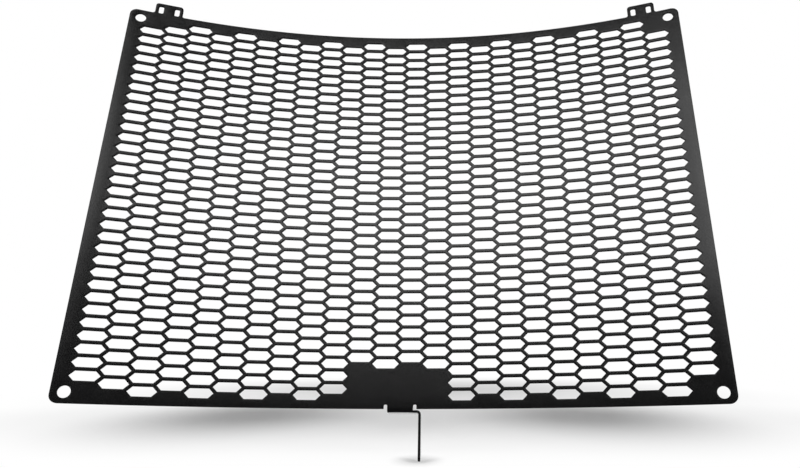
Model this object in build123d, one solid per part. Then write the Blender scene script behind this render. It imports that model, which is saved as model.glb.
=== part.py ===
from build123d import *
import math
import os

# Motorcycle radiator guard: one laser-cut aluminium sheet, curved to suit the radiator.
# All lengths are millimetres. Lengths across the sheet follow its curve at mid thickness.

# Sheet, with its hollow side to the front
sheet_thickness = 1.5
panel_width = 375.6
panel_height = 258.5
curve_radius = 531.0
corner_radius = 4.5
lean_angle = 10.0

# Screw holes in the four corners, from the hole's centre to the panel's edges
screw_hole_diameter = 6.6
screw_side_inset = 6.9
screw_end_inset = 6.1

# Cable-tie tabs on the top edge, each with two upright slots
tab_width = 17.5
tab_height = 8.3
tab_side_inset = 23.5
tab_corner_radius = 2.0
tab_root_radius = 1.5
slot_width = 3.2
slot_height = 5.9
slot_side_wall = 2.1
slot_top_wall = 2.1
slot_corner_radius = 1.0

# Staggered perforation: long hexagons with 45 degree points
column_pairs = 7
row_count = 19
web_width = 3.2
side_margin = 7.2
end_margin = 4.5

# Plain patch at the middle of the bottom edge: holes left out at the foot of each middle column
patch_holes = (2, 1)

# Locating hook folded out of the bottom edge, from a little above it
hook_offset = 1.75
hook_width = 15.0
fold_start = 0.65
notch_width = 2.0
notch_depth = 2.5
notch_corner_radius = 0.8
bend_radius = 1.0
arm_width = 10.0
arm_run = 2.1
leg_length = 26.8
foot_radius = 2.0

# Perforation sizes that follow from the margins
column_count = 2 * column_pairs
row_pitch = (panel_height - 2 * end_margin + web_width) / row_count
point_gap = web_width * math.sqrt(2) - row_pitch / 2
column_pitch = (panel_width - 2 * side_margin + point_gap) / column_count
hole_half_height = (row_pitch - web_width) / 2
hole_half_width = (column_pitch - point_gap) / 2
column_places = [(column - (column_count - 1) / 2) * column_pitch for column in range(column_count)]

# Places that follow on the panel
half_width = panel_width / 2
half_fold = column_pitch / 2 / curve_radius
inner_radius = curve_radius - sheet_thickness / 2 / math.cos(half_fold)
outer_radius = curve_radius + sheet_thickness / 2 / math.cos(half_fold)
cutter_depth = 3 * sheet_thickness
tab_top = panel_height + tab_height
tab_across = half_width - tab_side_inset
screw_across = half_width - screw_side_inset
screw_heights = (screw_end_inset, panel_height - screw_end_inset)

# Places that follow on the hook, which grows from the flat at the middle of the sheet
middle_front = inner_radius * math.cos(half_fold)
middle_back = outer_radius * math.cos(half_fold)
hook_left = hook_offset - hook_width / 2
hook_right = hook_offset + hook_width / 2
outer_bend = bend_radius + sheet_thickness
shelf_front = middle_back + bend_radius
shelf_back = shelf_front + arm_width
shelf_top = fold_start - bend_radius
shelf_bottom = fold_start - outer_bend


def turn(across):
    """Turn about the curve's axis that carries the sheet's middle to a place across it."""
    return Rot(0, 0, -math.degrees(across / curve_radius))


def plan_point(across, radius):
    """Point in plan at a place across the sheet."""
    angle = across / curve_radius
    return (radius * math.sin(angle), radius * math.cos(angle))


def edges_at(solid, places):
    """The straight edge through the sheet at each place, given as (across, height)."""
    straight = solid.edges().filter_by(GeomType.LINE)
    points = [Vector(*plan_point(across, curve_radius), height) for across, height in places]
    return [straight.sort_by_distance(point)[0] for point in points]


def cutter(outline):
    """Straight cutter through the middle of the sheet at its bottom edge, to be turned into place."""
    return Pos(0, curve_radius, 0) * extrude(Plane.XZ * outline, amount=cutter_depth, both=True)


def edge_cutter(start, end, bottom, top):
    """Cutter with radial sides for a stretch of the sheet's edge."""
    section = Pos(curve_radius, (bottom + top) / 2) * Rectangle(cutter_depth, top - bottom)
    sweep_angle = math.degrees((end - start) / curve_radius)
    return turn(start) * revolve(Plane.YZ * section, axis=-Axis.Z, revolution_arc=sweep_angle)


def curved_sheet():
    """Sheet as tall as the tabs, curved by a slight fold down the middle of each column of holes."""
    folds = [-half_width, *column_places, half_width]
    front = [plan_point(across, inner_radius) for across in folds]
    back = [plan_point(across, outer_radius) for across in reversed(folds)]
    return extrude(make_face(Polyline(*front, *back, close=True)), amount=tab_top)


def panel_blank():
    """Panel with its two cable-tie tabs and rounded corners."""
    tab_sides = [side * tab_across + end * tab_width / 2 for side in (-1, 1) for end in (-1, 1)]
    beyond = half_width + cutter_depth
    stretches = [(-beyond, tab_sides[0]), (tab_sides[1], tab_sides[2]), (tab_sides[3], beyond)]
    blank = curved_sheet()
    for start, end in stretches:
        blank -= edge_cutter(start, end, panel_height, tab_top + cutter_depth)
    corners = [(across, height) for across in (-half_width, half_width) for height in (0, panel_height)]
    blank = fillet(edges_at(blank, corners), corner_radius)
    blank = fillet(edges_at(blank, [(across, tab_top) for across in tab_sides]), tab_corner_radius)
    return fillet(edges_at(blank, [(across, panel_height) for across in tab_sides]), tab_root_radius)


def with_notches(blank):
    """Blank cut off where the hook's fold starts, with a relief notch at each side of it."""
    tops = []
    for left in (hook_left - notch_width, hook_right):
        right = left + notch_width
        blank -= Pos((left + right) / 2, middle_back, 0) * Box(notch_width, cutter_depth, 2 * notch_depth)
        tops += [(left, notch_depth), (right, notch_depth)]
    blank -= Pos(hook_offset, middle_back, 0) * Box(hook_width, cutter_depth, 2 * fold_start)
    return fillet(edges_at(blank, tops), notch_corner_radius)


def screw_and_slot_cutters():
    """Cutters for the corner screw holes and for the slots in the tabs."""
    screw = cutter(Circle(screw_hole_diameter / 2))
    slot = cutter(RectangleRounded(slot_width, slot_height, slot_corner_radius))
    slot_height_up = tab_top - slot_top_wall - slot_height / 2
    slot_spread = tab_width / 2 - slot_side_wall - slot_width / 2
    cutters = []
    for side in (-1, 1):
        for height in screw_heights:
            cutters.append(turn(side * screw_across) * Pos(0, 0, height) * screw)
        for spread in (-slot_spread, slot_spread):
            cutters.append(turn(side * tab_across + spread) * Pos(0, 0, slot_height_up) * slot)
    return cutters


def holes_left_out(column):
    """How many holes the plain patch takes from the foot of a column."""
    place_in_patch = column - (column_count - len(patch_holes)) // 2
    return patch_holes[place_in_patch] if 0 <= place_in_patch < len(patch_holes) else 0


def near_screw(across, height):
    """True for a hole that would leave less than a web beside a screw hole."""
    clear = screw_hole_diameter / 2 + web_width
    beside = abs(abs(across) - screw_across) < hole_half_width + clear
    level = min(abs(height - screw_height) for screw_height in screw_heights)
    return beside and level < hole_half_height + clear


def hole_centres():
    """Centre of each hexagon. Every second column starts half a row in and has one hole fewer."""
    centres = []
    for column, across in enumerate(column_places):
        inset = column % 2
        for row in range(holes_left_out(column), row_count - inset):
            height = end_margin + hole_half_height + (row + inset / 2) * row_pitch
            if not near_screw(across, height):
                centres.append((across, height))
    return centres


def hexagon_cutters():
    """One cutter for each hexagon of the perforation."""
    flat = hole_half_width - hole_half_height
    outline = make_face(Polyline(
        (hole_half_width, 0),
        (flat, hole_half_height),
        (-flat, hole_half_height),
        (-hole_half_width, 0),
        (-flat, -hole_half_height),
        (flat, -hole_half_height),
        close=True,
    ))
    hexagon = cutter(outline)
    return [turn(across) * Pos(0, 0, height) * hexagon for across, height in hole_centres()]


def hook_shelf():
    """Root of the hook: the sheet's edge folded back into a level shelf."""
    bend_centre = (shelf_front, fold_start)
    section = make_face(
        Line((middle_front, fold_start), (middle_back, fold_start))
        + CenterArc(bend_centre, bend_radius, 180, 90)
        + Polyline((shelf_front, shelf_top), (shelf_back, shelf_top),
                   (shelf_back, shelf_bottom), (shelf_front, shelf_bottom))
        + CenterArc(bend_centre, outer_bend, 180, 90)
    )
    return Pos(hook_left, 0, 0) * extrude(Plane.YZ * section, amount=hook_width)


def hook_leg():
    """Arm that carries the shelf on to the right and folds down into the leg."""
    arm_end = hook_right + arm_run
    bend_level = shelf_bottom - bend_radius
    foot_level = shelf_bottom - leg_length
    section = make_face(
        Polyline((arm_end, shelf_bottom), (hook_right, shelf_bottom), (hook_right, shelf_top), (arm_end, shelf_top))
        + CenterArc((arm_end, bend_level), outer_bend, 0, 90)
        + Polyline((arm_end + outer_bend, bend_level), (arm_end + outer_bend, foot_level),
                   (arm_end + bend_radius, foot_level), (arm_end + bend_radius, bend_level))
        + CenterArc((arm_end, bend_level), bend_radius, 0, 90)
    )
    leg = Pos(0, shelf_back, 0) * extrude(Plane.XZ * section, amount=arm_width)
    foot_corners = leg.edges().filter_by(Axis.X).group_by(Axis.Z)[0]
    return fillet(foot_corners, foot_radius)


def radiator_guard():
    """The whole guard, leaned back and standing over the bottom centre of its own box."""
    guard = with_notches(panel_blank()) - screw_and_slot_cutters() - hexagon_cutters()
    guard = guard + hook_shelf() + hook_leg()
    guard = Rot(-lean_angle, 0, 0) * guard
    box = guard.bounding_box()
    return Pos(-box.center().X, -box.center().Y, -box.min.Z) * guard


def main():
    os.makedirs("parts", exist_ok=True)
    export_step(radiator_guard(), "parts/radiator_guard.step")


if __name__ == "__main__":
    main()
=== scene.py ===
import math

import bmesh
import bpy
from mathutils import Matrix, Vector


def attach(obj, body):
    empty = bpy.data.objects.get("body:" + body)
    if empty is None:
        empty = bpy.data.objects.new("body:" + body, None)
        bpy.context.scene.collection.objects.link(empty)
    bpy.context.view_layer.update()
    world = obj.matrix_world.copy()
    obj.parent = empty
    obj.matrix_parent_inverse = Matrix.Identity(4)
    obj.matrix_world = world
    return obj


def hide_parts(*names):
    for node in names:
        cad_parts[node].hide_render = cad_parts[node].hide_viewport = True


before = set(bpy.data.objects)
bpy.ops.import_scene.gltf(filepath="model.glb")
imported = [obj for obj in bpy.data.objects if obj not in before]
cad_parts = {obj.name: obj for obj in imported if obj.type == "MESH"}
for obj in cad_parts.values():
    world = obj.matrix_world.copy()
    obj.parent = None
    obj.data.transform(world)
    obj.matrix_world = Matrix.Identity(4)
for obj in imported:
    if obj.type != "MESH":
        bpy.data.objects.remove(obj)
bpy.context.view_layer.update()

MM = 0.001

# Sheet, in millimetres, with its hollow side to the front
# Lengths across the sheet follow its curve at mid thickness
SHEET_THICKNESS = 1.5
PANEL_WIDTH = 375.6
PANEL_HEIGHT = 258.5
CURVE_RADIUS = 531.0
CORNER_RADIUS = 4.5
LEAN_ANGLE = 10.0
COAT_ROUNDING = 0.25

# Screw holes in the four corners
SCREW_HOLE_RADIUS = 3.3
SCREW_SIDE_INSET = 6.9
SCREW_END_INSET = 6.1

# Cable-tie tabs on the top edge, each with two upright slots
TAB_WIDTH = 17.5
TAB_HEIGHT = 8.3
TAB_SIDE_INSET = 23.5
TAB_CORNER_RADIUS = 2.0
TAB_ROOT_RADIUS = 1.5
SLOT_WIDTH = 3.2
SLOT_HEIGHT = 5.9
SLOT_SIDE_WALL = 2.1
SLOT_TOP_WALL = 2.1
SLOT_CORNER_RADIUS = 1.0

# Staggered perforation of long hexagons, with holes left out at the foot of the middle columns
COLUMN_COUNT = 24
ROW_COUNT = 34
WEB_WIDTH = 2.0
SIDE_MARGIN = 7.4
END_MARGIN = 4.8
PATCH_HOLES = (3, 2, 3, 2)

# Locating hook folded out of the bottom edge, from a little above it
HOOK_OFFSET = 1.75
HOOK_WIDTH = 15.0
FOLD_START = 0.65
NOTCH_WIDTH = 2.0
NOTCH_DEPTH = 2.5
NOTCH_CORNER_RADIUS = 0.8
BEND_RADIUS = 1.0
ARM_WIDTH = 10.0
ARM_RUN = 2.1
LEG_LENGTH = 26.8
FOOT_RADIUS = 2.0

# Sizes that follow
HALF_WIDTH = PANEL_WIDTH / 2
TAB_TOP = PANEL_HEIGHT + TAB_HEIGHT
TAB_ACROSS = HALF_WIDTH - TAB_SIDE_INSET
SCREW_ACROSS = HALF_WIDTH - SCREW_SIDE_INSET
SCREW_HEIGHTS = (SCREW_END_INSET, PANEL_HEIGHT - SCREW_END_INSET)
ROW_PITCH = (PANEL_HEIGHT - 2 * END_MARGIN + WEB_WIDTH) / ROW_COUNT
POINT_GAP = WEB_WIDTH * math.sqrt(2) - ROW_PITCH / 2
COLUMN_PITCH = (PANEL_WIDTH - 2 * SIDE_MARGIN + POINT_GAP) / COLUMN_COUNT
CELL_HALF_HEIGHT = ROW_PITCH / 2
CELL_FLAT = (COLUMN_PITCH - CELL_HALF_HEIGHT) / 2
CELL_HALF_WIDTH = CELL_FLAT + CELL_HALF_HEIGHT
HOLE_HALF_HEIGHT = (ROW_PITCH - WEB_WIDTH) / 2
HOLE_HALF_WIDTH = (COLUMN_PITCH - POINT_GAP) / 2
HOOK_LEFT = HOOK_OFFSET - HOOK_WIDTH / 2
HOOK_RIGHT = HOOK_OFFSET + HOOK_WIDTH / 2
SHELF_FRONT = CURVE_RADIUS + SHEET_THICKNESS / 2 + BEND_RADIUS
SHELF_BOTTOM = FOLD_START - BEND_RADIUS - SHEET_THICKNESS

# Segments of what is round
CORNER_SEGMENTS = 6
SLOT_SEGMENTS = 5
SCREW_SEGMENTS = 40
BEND_SEGMENTS = 8
FOOT_SEGMENTS = 6
ROUNDING_SEGMENTS = 2
FLOOR_SEGMENTS = 64

# Limits for finding faces and edges: nearness in millimetres, share of a normal, turn at a sharp edge
TOUCH = 0.01
SQUARE_ON = 0.9
SHARP_TURN = math.radians(60)

# Material slots of the sheet
FRONT_AND_BACK = 0
CUT_WALL = 1

# Black powder coat: shades, sizes of its noises in lumps per metre, and depth of its skin in metres
COAT_DARKEST = (0.002, 0.002, 0.0021, 1)
COAT_LIGHTEST = (0.009, 0.009, 0.0092, 1)
PEEL_SCALE = 1500
DRIFT_SCALE = 45
SPECK_SCALE = 5200
PEEL_DEPTH = 0.00006
PEEL_STRENGTH = 0.25

# How drift and speck share the shade, and what drift and peel add to the roughness
DRIFT_IN_SHADE = 0.6
SPECK_IN_SHADE = 0.4
DRIFT_IN_ROUGHNESS = 0.1
PEEL_IN_ROUGHNESS = 0.06

# Least roughness and shine of the coat, on the faces and on the duller cut walls
FACE_ROUGHNESS = 0.1
FACE_SHINE = 0.5
CUT_ROUGHNESS = 0.6
CUT_SHINE = 0.15

# Colour sockets of a Mix node
MIX_FIRST = 6
MIX_SECOND = 7
MIX_RESULT = 2

# Floor, in metres, and its soft spots of painted shade, where dim lit paper with the guard's real shadow on
# it shows through the white: middle, reach and strength of each
FLOOR_RADIUS = 4
FLOOR_PAPER = (0.82, 0.82, 0.82, 1)
PAINTED_SHADE_SPOTS = {
    "left": ((-0.177, 0.25), (0.155, 0.26), 0.6),
    "right": ((0.177, 0.25), (0.155, 0.26), 0.6),
    "between": ((0, 0.25), (0.55, 0.28), 0.45),
    "far": ((0, 0.7), (0.6, 0.65), 0.6),
    "foot": ((0.0115, 0.003), (0.019, 0.026), 0.6),
}

# Room: level of its light, and the direction in which reflections see white, from a start until it is full
WHITE = (1, 1, 1, 1)
ROOM_LEVEL = 0.03
WHITE_DIRECTION = (0, 0.9, 0.45)
WHITE_START = 0.1
WHITE_FULL = 0.6

# Point that the lamps face, in metres
LIT_MIDDLE = Vector((0, 0, 0.15))

# Photograph's width, focal length and middle of the lens, in pixels
IMAGE_WIDTH = 800
FOCAL_PIXELS = 636.4
LENS_MIDDLE = 443.5

# Camera: width of its sensor in millimetres, place and nearest sight in metres, turn in degrees
SENSOR_WIDTH = 36
NEAREST_SIGHT = 0.01
CAMERA_PLACE = (0.02846, -0.38733, 0.06239)
CAMERA_TURN = (100.512, -0.041, 0.233)


class Socket:
    """An output in a shader, on which Python's operators add Math nodes."""

    def __init__(self, shader, link):
        self.shader = shader
        self.link = link

    def math(self, operation, first, second):
        return self.shader.node("ShaderNodeMath", {"operation": operation}, {0: first, 1: second})

    def __add__(self, other):
        return self.math("ADD", self, other)

    def __radd__(self, other):
        return self.math("ADD", other, self)

    def __sub__(self, other):
        return self.math("SUBTRACT", self, other)

    def __rsub__(self, other):
        return self.math("SUBTRACT", other, self)

    def __mul__(self, other):
        return self.math("MULTIPLY", self, other)

    def __rmul__(self, other):
        return self.math("MULTIPLY", other, self)


class Shader:
    """A node tree that is built from one node at a time."""

    def __init__(self, tree):
        self.tree = tree
        self.tree.nodes.clear()

    def node(self, kind, settings=None, sockets=None, output=0):
        made = self.tree.nodes.new(kind)
        for name, value in (settings or {}).items():
            setattr(made, name, value)
        for name, value in (sockets or {}).items():
            if isinstance(value, Socket):
                self.tree.links.new(value.link, made.inputs[name])
            else:
                made.inputs[name].default_value = value
        return Socket(self, made.outputs[output]) if made.outputs else None


def material(name):
    """New material, and the shader to build it with."""
    made = bpy.data.materials.new(name)
    made.use_nodes = True
    return made, Shader(made.node_tree)


def powder_coat(name, least_roughness, shine):
    """Satin black powder coat: a fine orange-peel skin, with a slight drift in shade and gloss."""
    made, shader = material(name)
    place = shader.node("ShaderNodeTexCoord", output="Object")
    peel = shader.node("ShaderNodeTexNoise", sockets={"Vector": place, "Scale": PEEL_SCALE, "Detail": 2})
    drift = shader.node("ShaderNodeTexNoise", sockets={"Vector": place, "Scale": DRIFT_SCALE, "Detail": 3})
    speck = shader.node("ShaderNodeTexNoise", sockets={"Vector": place, "Scale": SPECK_SCALE, "Detail": 1})
    shade = DRIFT_IN_SHADE * drift + SPECK_IN_SHADE * speck
    colour = shader.node(
        "ShaderNodeMix",
        {"data_type": "RGBA"},
        {"Factor": shade, MIX_FIRST: COAT_DARKEST, MIX_SECOND: COAT_LIGHTEST},
        output=MIX_RESULT,
    )
    roughness = least_roughness + DRIFT_IN_ROUGHNESS * drift + PEEL_IN_ROUGHNESS * peel
    skin = shader.node(
        "ShaderNodeBump", sockets={"Strength": PEEL_STRENGTH, "Distance": PEEL_DEPTH, "Height": peel}
    )
    coat = shader.node(
        "ShaderNodeBsdfPrincipled",
        sockets={"Base Color": colour, "Roughness": roughness, "Normal": skin, "Specular IOR Level": shine},
    )
    shader.node("ShaderNodeOutputMaterial", sockets={"Surface": coat})
    return made


def verts_of(geom):
    """Corners in what an operator gives back."""
    return [item for item in geom if isinstance(item, bmesh.types.BMVert)]


def faces_of(geom):
    """Faces in what an operator gives back."""
    return [item for item in geom if isinstance(item, bmesh.types.BMFace)]


def region(faces):
    """Faces with their edges and corners, as copies, extrusions and spins need them."""
    edges = dict.fromkeys(edge for face in faces for edge in face.edges)
    verts = dict.fromkeys(vert for face in faces for vert in face.verts)
    return [*verts, *edges, *faces]


def round_off(bm, geom, radius, segments, affect):
    """Corners of an outline, or edges of the sheet, rounded."""
    bmesh.ops.bevel(
        bm, geom=geom, offset=radius, segments=segments, profile=0.5, affect=affect, material=-1
    )


def hexagon_cell(bm):
    """One cell of the perforation, round the origin: a long hexagon with 45 degree points."""
    corners = (
        (CELL_HALF_WIDTH, 0),
        (CELL_FLAT, CELL_HALF_HEIGHT),
        (-CELL_FLAT, CELL_HALF_HEIGHT),
        (-CELL_HALF_WIDTH, 0),
        (-CELL_FLAT, -CELL_HALF_HEIGHT),
        (CELL_FLAT, -CELL_HALF_HEIGHT),
    )
    cell = bm.faces.new([bm.verts.new((across, 0, height)) for across, height in corners])
    cell.normal_update()
    return cell


def open_cell(bm):
    """A cell with its hole cut half a web in from each side, and the rim marked as a seam."""
    cell = hexagon_cell(bm)
    inset = bmesh.ops.inset_individual(bm, faces=[cell], thickness=WEB_WIDTH / 2, use_even_offset=True)
    for edge in cell.edges:
        edge.seam = True
    bmesh.ops.delete(bm, geom=[cell], context="FACES_ONLY")
    return inset["faces"]


def lay_cells(bm, cell, places):
    """Copies of a cell at each place on the flat sheet, given as (across, height)."""
    pattern = region(cell)
    for across, height in places:
        copy = bmesh.ops.duplicate(bm, geom=pattern)["geom"]
        bmesh.ops.translate(bm, vec=(across, 0, height), verts=verts_of(copy))
    bmesh.ops.delete(bm, geom=verts_of(pattern), context="VERTS")


def holes_left_out(column):
    """How many holes the plain patch takes from the foot of a column."""
    place_in_patch = column - (COLUMN_COUNT - len(PATCH_HOLES)) // 2
    return PATCH_HOLES[place_in_patch] if 0 <= place_in_patch < len(PATCH_HOLES) else 0


def near_screw(across, height):
    """True for a hole that would leave less than a web beside a screw hole."""
    clear = SCREW_HOLE_RADIUS + WEB_WIDTH
    beside = abs(abs(across) - SCREW_ACROSS) < HOLE_HALF_WIDTH + clear
    level = min(abs(height - screw_height) for screw_height in SCREW_HEIGHTS)
    return beside and level < HOLE_HALF_HEIGHT + clear


def cell_places():
    """Centres of the open and of the plain cells. Every second column starts half a row in."""
    open_places = []
    plain_places = []
    for column in range(COLUMN_COUNT):
        across = (column - (COLUMN_COUNT - 1) / 2) * COLUMN_PITCH
        inset = column % 2
        for row in range(ROW_COUNT - inset):
            height = END_MARGIN + HOLE_HALF_HEIGHT + (row + inset / 2) * ROW_PITCH
            if near_screw(across, height):
                continue
            places = plain_places if row < holes_left_out(column) else open_places
            places.append((across, height))
    return open_places, plain_places


def rounded_loop(bm, corners, segments):
    """Closed loop of edges on the flat sheet, through corners given as (across, height, radius)."""
    earlier = set(bm.faces)
    verts = [bm.verts.new((across, 0, height)) for across, height, radius in corners]
    bm.faces.new(verts)
    for wanted in sorted({radius for across, height, radius in corners if radius}):
        turned = [vert for vert, (across, height, radius) in zip(verts, corners) if radius == wanted]
        round_off(bm, turned, wanted, segments, "VERTICES")
    outline = next(face for face in bm.faces if face not in earlier)
    edges = list(outline.edges)
    bmesh.ops.delete(bm, geom=[outline], context="FACES_ONLY")
    for edge in edges:
        cuts = int(edge.calc_length() // ROW_PITCH)
        if cuts:
            bmesh.ops.subdivide_edges(bm, edges=[edge], cuts=cuts)


def panel_corners():
    """Corners of the flat blank, anticlockwise from its lower left."""
    bottom = [
        (-HALF_WIDTH, 0, CORNER_RADIUS),
        (HOOK_LEFT - NOTCH_WIDTH, 0, 0),
        (HOOK_LEFT - NOTCH_WIDTH, NOTCH_DEPTH, NOTCH_CORNER_RADIUS),
        (HOOK_LEFT, NOTCH_DEPTH, NOTCH_CORNER_RADIUS),
        (HOOK_LEFT, FOLD_START, 0),
        (HOOK_RIGHT, FOLD_START, 0),
        (HOOK_RIGHT, NOTCH_DEPTH, NOTCH_CORNER_RADIUS),
        (HOOK_RIGHT + NOTCH_WIDTH, NOTCH_DEPTH, NOTCH_CORNER_RADIUS),
        (HOOK_RIGHT + NOTCH_WIDTH, 0, 0),
        (HALF_WIDTH, 0, CORNER_RADIUS),
    ]
    top = [(HALF_WIDTH, PANEL_HEIGHT, CORNER_RADIUS)]
    for middle in (TAB_ACROSS, -TAB_ACROSS):
        right = middle + TAB_WIDTH / 2
        left = middle - TAB_WIDTH / 2
        top += [(right, PANEL_HEIGHT, TAB_ROOT_RADIUS), (right, TAB_TOP, TAB_CORNER_RADIUS)]
        top += [(left, TAB_TOP, TAB_CORNER_RADIUS), (left, PANEL_HEIGHT, TAB_ROOT_RADIUS)]
    top.append((-HALF_WIDTH, PANEL_HEIGHT, CORNER_RADIUS))
    return bottom + top


def slot_corners(across):
    """Corners of one cable-tie slot."""
    top = TAB_TOP - SLOT_TOP_WALL
    sides = [(-1, top - SLOT_HEIGHT), (1, top - SLOT_HEIGHT), (1, top), (-1, top)]
    return [(across + side * SLOT_WIDTH / 2, height, SLOT_CORNER_RADIUS) for side, height in sides]


def flat_blank():
    """The blank as it is cut: perforated middle, plain border, tabs, screw holes, slots and notches."""
    bm = bmesh.new()
    open_places, plain_places = cell_places()
    lay_cells(bm, open_cell(bm), open_places)
    lay_cells(bm, [hexagon_cell(bm)], plain_places)
    bmesh.ops.remove_doubles(bm, verts=bm.verts, dist=TOUCH)
    rounded_loop(bm, panel_corners(), CORNER_SEGMENTS)
    slot_spread = TAB_WIDTH / 2 - SLOT_SIDE_WALL - SLOT_WIDTH / 2
    upright = Matrix.Rotation(math.pi / 2, 4, "X")
    for side in (-1, 1):
        for spread in (-slot_spread, slot_spread):
            rounded_loop(bm, slot_corners(side * TAB_ACROSS + spread), SLOT_SEGMENTS)
        for height in SCREW_HEIGHTS:
            place = Matrix.Translation((side * SCREW_ACROSS, 0, height)) @ upright
            bmesh.ops.create_circle(bm, segments=SCREW_SEGMENTS, radius=SCREW_HOLE_RADIUS, matrix=place)
    border = [edge for edge in bm.edges if edge.is_wire or (edge.is_boundary and not edge.seam)]
    bmesh.ops.triangle_fill(bm, use_beauty=True, edges=border, normal=(0, -1, 0))
    return bm


def give_thickness(bm):
    """Sheet of full thickness, with the flat blank at its middle."""
    bmesh.ops.recalc_face_normals(bm, faces=bm.faces)
    bmesh.ops.solidify(bm, geom=bm.faces[:], thickness=SHEET_THICKNESS)
    middle = (min(vert.co.y for vert in bm.verts) + max(vert.co.y for vert in bm.verts)) / 2
    bmesh.ops.translate(bm, vec=(0, -middle, 0), verts=bm.verts)
    bmesh.ops.recalc_face_normals(bm, faces=bm.faces)
    for face in bm.faces:
        face.material_index = FRONT_AND_BACK if abs(face.normal.y) > SQUARE_ON else CUT_WALL


def roll_to_curve(bm):
    """Flat sheet rolled to its curve, about an upright axis in front of it."""
    for vert in bm.verts:
        angle = vert.co.x / CURVE_RADIUS
        radius = CURVE_RADIUS + vert.co.y
        vert.co = Vector((radius * math.sin(angle), radius * math.cos(angle), vert.co.z))


def extrude(bm, faces, step):
    """Faces drawn out straight."""
    grown = bmesh.ops.extrude_face_region(bm, geom=region(faces))["geom"]
    bmesh.ops.translate(bm, vec=step, verts=verts_of(grown))
    return faces_of(grown)


def fold(bm, faces, centre, axis):
    """Faces carried round a right-angled bend."""
    swept = bmesh.ops.spin(
        bm, geom=region(faces), cent=centre, axis=axis, angle=math.pi / 2, steps=BEND_SEGMENTS
    )
    return faces_of(swept["geom_last"])


def on_shelf(vert):
    """True for a corner of the shelf, which lies under the panel and behind the hook's first fold."""
    return vert.co.z < 0 and vert.co.y > SHELF_FRONT - TOUCH


def fold_hook(bm):
    """Bottom edge between the notches, folded back into a shelf with an arm and leg on its right."""
    panel_faces = set(bm.faces)
    end = [face for face in bm.faces if all(abs(vert.co.z - FOLD_START) < TOUCH for vert in face.verts)]
    end = fold(bm, end, (0, SHELF_FRONT, FOLD_START), (1, 0, 0))
    extrude(bm, end, (0, ARM_WIDTH, 0))
    bm.normal_update()
    facing_right = [face for face in bm.faces if face.normal.x > SQUARE_ON]
    side = [face for face in facing_right if all(on_shelf(vert) for vert in face.verts)]
    arm_end = HOOK_RIGHT + ARM_RUN
    end = extrude(bm, side, (ARM_RUN, 0, 0))
    end = fold(bm, end, (arm_end, 0, SHELF_BOTTOM - BEND_RADIUS), (0, 1, 0))
    end = extrude(bm, end, (0, 0, BEND_RADIUS - LEG_LENGTH))
    corners = [edge for edge in end[0].edges if abs(edge.verts[0].co.y - edge.verts[1].co.y) < TOUCH]
    round_off(bm, corners, FOOT_RADIUS, FOOT_SEGMENTS, "EDGES")
    for face in bm.faces:
        if face not in panel_faces:
            face.material_index = FRONT_AND_BACK


def is_cut_edge(edge):
    """True for an outside edge along the cut, and not for one that crosses the sheet's thickness."""
    crosses = abs(edge.calc_length() - SHEET_THICKNESS) < TOUCH
    return edge.is_convex and edge.calc_face_angle(0) > SHARP_TURN and not crosses


def round_edges(bm):
    """Cut edges rounded as the coat rounds them."""
    bmesh.ops.recalc_face_normals(bm, faces=bm.faces)
    edges = [edge for edge in bm.edges if is_cut_edge(edge)]
    round_off(bm, edges, COAT_ROUNDING, ROUNDING_SEGMENTS, "EDGES")


def stand_in_place(bm):
    """Guard leaned back, in metres, over the bottom centre of its own box."""
    lean = Matrix.Rotation(-math.radians(LEAN_ANGLE), 4, "X")
    bmesh.ops.transform(bm, matrix=Matrix.Scale(MM, 4) @ lean, verts=bm.verts)
    depths = [vert.co.y for vert in bm.verts]
    foot = min(vert.co.z for vert in bm.verts)
    bmesh.ops.translate(bm, vec=(0, -(min(depths) + max(depths)) / 2, -foot), verts=bm.verts)


def guard_sheet():
    """The whole guard, which stands for the CAD sheet on the root body."""
    bm = flat_blank()
    give_thickness(bm)
    roll_to_curve(bm)
    fold_hook(bm)
    round_edges(bm)
    stand_in_place(bm)
    for face in bm.faces:
        face.smooth = True
    mesh = bpy.data.meshes.new("guard_sheet")
    bm.to_mesh(mesh)
    bm.free()
    mesh.materials.append(powder_coat("powder_coat", FACE_ROUGHNESS, FACE_SHINE))
    mesh.materials.append(powder_coat("coat_on_cuts", CUT_ROUGHNESS, CUT_SHINE))
    guard = bpy.data.objects.new("guard_sheet", mesh)
    bpy.context.collection.objects.link(guard)
    even = guard.modifiers.new("even_shading", "WEIGHTED_NORMAL")
    even.mode = "FACE_AREA"
    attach(guard, "root")
    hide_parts("radiator_guard")


def soft_spot(shader, place, middle, reach):
    """1 at the middle of a soft-edged ellipse on the floor, falling to 0 at its rim."""
    around = shader.node(
        "ShaderNodeMapping",
        {"vector_type": "TEXTURE"},
        {"Vector": place, "Location": (*middle, 0), "Scale": (*reach, 1)},
    )
    distance = shader.node("ShaderNodeVectorMath", {"operation": "LENGTH"}, {0: around}, output="Value")
    return shader.node(
        "ShaderNodeMapRange",
        {"interpolation_type": "SMOOTHSTEP"},
        {"Value": distance, "From Min": 1, "From Max": 0},
    )


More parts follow.
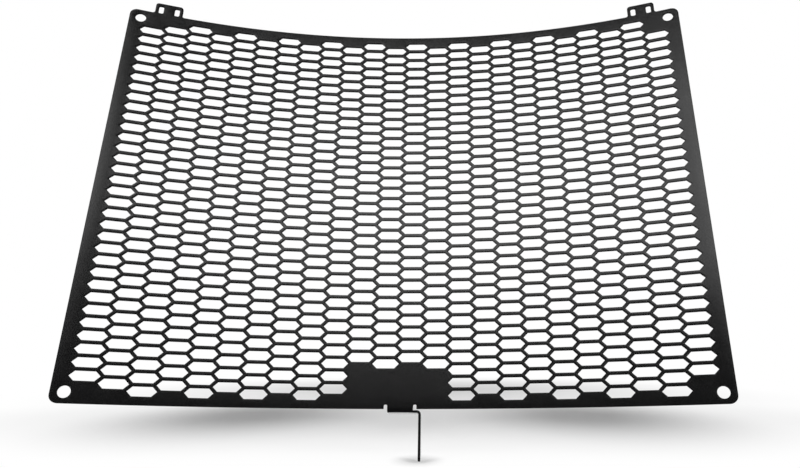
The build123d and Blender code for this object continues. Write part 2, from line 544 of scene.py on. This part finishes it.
def pale_floor():
    """Round floor, plain white but for a few soft spots of painted shade, where its dim lit paper shows
    with the guard's real shadow on it.
    """
    made, shader = material("pale_floor")
    place = shader.node("ShaderNodeTexCoord", output="Object")
    # Painted shade: the spots swap the white for dim lit paper, which also carries the guard's real shadow
    painted_shade = 0
    for middle, reach, strength in PAINTED_SHADE_SPOTS.values():
        painted_shade = painted_shade + strength * soft_spot(shader, place, middle, reach)
    seen = shader.node("ShaderNodeLightPath", output="Is Camera Ray")
    paper = shader.node("ShaderNodeBsdfDiffuse", sockets={"Color": FLOOR_PAPER})
    white = shader.node("ShaderNodeEmission", sockets={"Color": WHITE, "Strength": 1})
    surface = shader.node("ShaderNodeMixShader", sockets={0: (1 - painted_shade) * seen, 1: paper, 2: white})
    shader.node("ShaderNodeOutputMaterial", sockets={"Surface": surface})
    bm = bmesh.new()
    bmesh.ops.create_circle(bm, cap_ends=True, segments=FLOOR_SEGMENTS, radius=FLOOR_RADIUS)
    mesh = bpy.data.meshes.new("floor")
    bm.to_mesh(mesh)
    bm.free()
    mesh.materials.append(made)
    floor = bpy.data.objects.new("floor", mesh)
    floor.visible_glossy = False
    bpy.context.collection.objects.link(floor)


def studio_world():
    """White for the camera, and in reflections above and behind the guard. The room is dim elsewhere."""
    world = bpy.data.worlds.new("studio")
    world.use_nodes = True
    shader = Shader(world.node_tree)
    direction = shader.node("ShaderNodeTexCoord", output="Generated")
    facing = shader.node(
        "ShaderNodeVectorMath",
        {"operation": "DOT_PRODUCT"},
        {0: direction, 1: WHITE_DIRECTION},
        output="Value",
    )
    behind = shader.node(
        "ShaderNodeMapRange",
        {"interpolation_type": "SMOOTHSTEP"},
        {"Value": facing, "From Min": WHITE_START, "From Max": WHITE_FULL},
    )
    seen = shader.node("ShaderNodeLightPath", output="Is Camera Ray")
    mirrored = shader.node("ShaderNodeLightPath", output="Is Glossy Ray")
    through = shader.node("ShaderNodeLightPath", output="Is Transmission Ray")
    white = shader.node(
        "ShaderNodeMath",
        {"operation": "ADD", "use_clamp": True},
        {0: seen + through, 1: mirrored * behind},
    )
    level = ROOM_LEVEL + (1 - ROOM_LEVEL) * white
    light = shader.node("ShaderNodeBackground", sockets={"Color": WHITE, "Strength": level})
    shader.node("ShaderNodeOutputWorld", sockets={"Surface": light})
    bpy.context.scene.world = world


def softbox(name, place, power, size, roll=0):
    """Oval area lamp that faces the middle of the guard, rolled by an angle in degrees."""
    data = bpy.data.lights.new(name, "AREA")
    data.shape = "ELLIPSE"
    data.size, data.size_y = size
    data.energy = power
    lamp = bpy.data.objects.new(name, data)
    lamp.location = place
    lamp.rotation_euler = (LIT_MIDDLE - Vector(place)).to_track_quat("-Z", "Y").to_euler()
    lamp.rotation_euler.rotate_axis("Z", math.radians(roll))
    bpy.context.collection.objects.link(lamp)
    return lamp


def studio_lamps():
    """Two lamps for the coat's sheen, which leave the floor alone, and two that light the floor."""
    sheen_lamps = [
        softbox("softbox_front", place=(-0.32, -1.08, 0.97), power=1.65, size=(0.84, 0.58), roll=-38),
        softbox("softbox_strip", place=(-0.09, -1.1, 0.88), power=0.43, size=(0.06, 1.1), roll=3),
    ]
    side_lamps = [
        softbox(name, place=(side * 2.84, -3.38, 2.35), power=145, size=(1.2, 1.2))
        for name, side in (("softbox_left", -1), ("softbox_right", 1))
    ]
    for lamp in sheen_lamps:
        lamp.visible_diffuse = False
    for lamp in side_lamps:
        lamp.visible_glossy = False


def camera():
    """Camera at the photograph's place. The middle of its lens lies right of the picture's middle."""
    data = bpy.data.cameras.new("camera")
    data.sensor_width = SENSOR_WIDTH
    data.lens = SENSOR_WIDTH * FOCAL_PIXELS / IMAGE_WIDTH
    data.shift_x = 0.5 - LENS_MIDDLE / IMAGE_WIDTH
    data.clip_start = NEAREST_SIGHT
    seen_from = bpy.data.objects.new("camera", data)
    seen_from.location = CAMERA_PLACE
    seen_from.rotation_euler = [math.radians(angle) for angle in CAMERA_TURN]
    bpy.context.collection.objects.link(seen_from)
    bpy.context.scene.camera = seen_from


guard_sheet()
pale_floor()
studio_world()
studio_lamps()
camera()
bpy.context.scene.view_settings.view_transform = "Standard"
